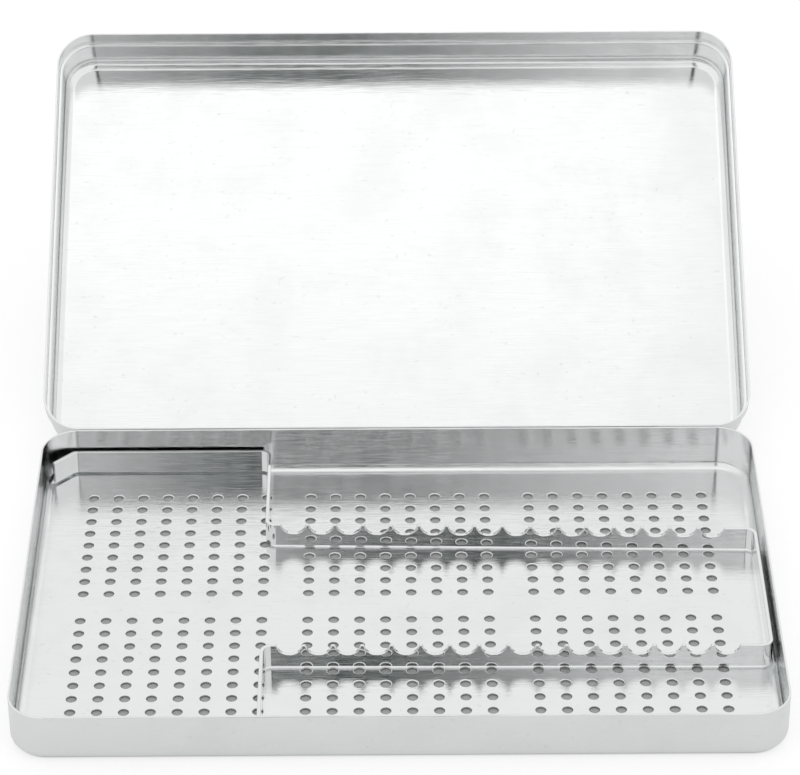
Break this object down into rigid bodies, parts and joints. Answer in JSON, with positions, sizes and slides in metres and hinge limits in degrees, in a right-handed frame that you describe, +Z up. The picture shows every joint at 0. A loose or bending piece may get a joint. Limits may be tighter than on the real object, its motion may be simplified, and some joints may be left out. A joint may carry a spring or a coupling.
{
  "type": "dental instrument cassette",
  "caption": "Shallow perforated steel tray with a deep-drawn hinged lid and a bent strip rack with rows of notches that hold dental instruments side by side.",
  "frame": {"origin": "centre of the tray's flat underside, on the surface that the cassette rests on", "axes": "+X to the right along the tray's long side, +Y towards the hinge and the opened lid, +Z up"},
  "size_m": [0.2868, 0.3559, 0.1122],
  "materials": {
    "tray_steel": "stainless sheet, polished inside, satin outside",
    "lid_steel": "stainless sheet, polished with a soft haze",
    "rack_steel": "mirror-polished stainless strip",
    "hinge_steel": "satin stainless strip and wire"
  },
  "bodies": {
    "tray_body": {"tray": "tray_steel", "tray_hinge_leaf_left": "hinge_steel", "tray_hinge_leaf_right": "hinge_steel", "hinge_pin_left": "hinge_steel", "hinge_pin_right": "hinge_steel"},
    "lid_body": {"lid": "lid_steel", "lid_hinge_leaf_left": "hinge_steel", "lid_hinge_leaf_right": "hinge_steel"},
    "rack_body": {"instrument_rack": "rack_steel"}
  },
  "joints": [
    {"name": "lid_hinge", "type": "hinge", "parent": "tray_body", "child": "lid_body", "pos_m": [0, 0.0951, 0.0147], "axis": [1, 0, 0], "range_deg": [0, 149.1]},
    {"name": "rack_lift", "type": "slide", "parent": "tray_body", "child": "rack_body", "axis": [0, 0, 1], "range_m": [0, 0.02]}
  ]
}
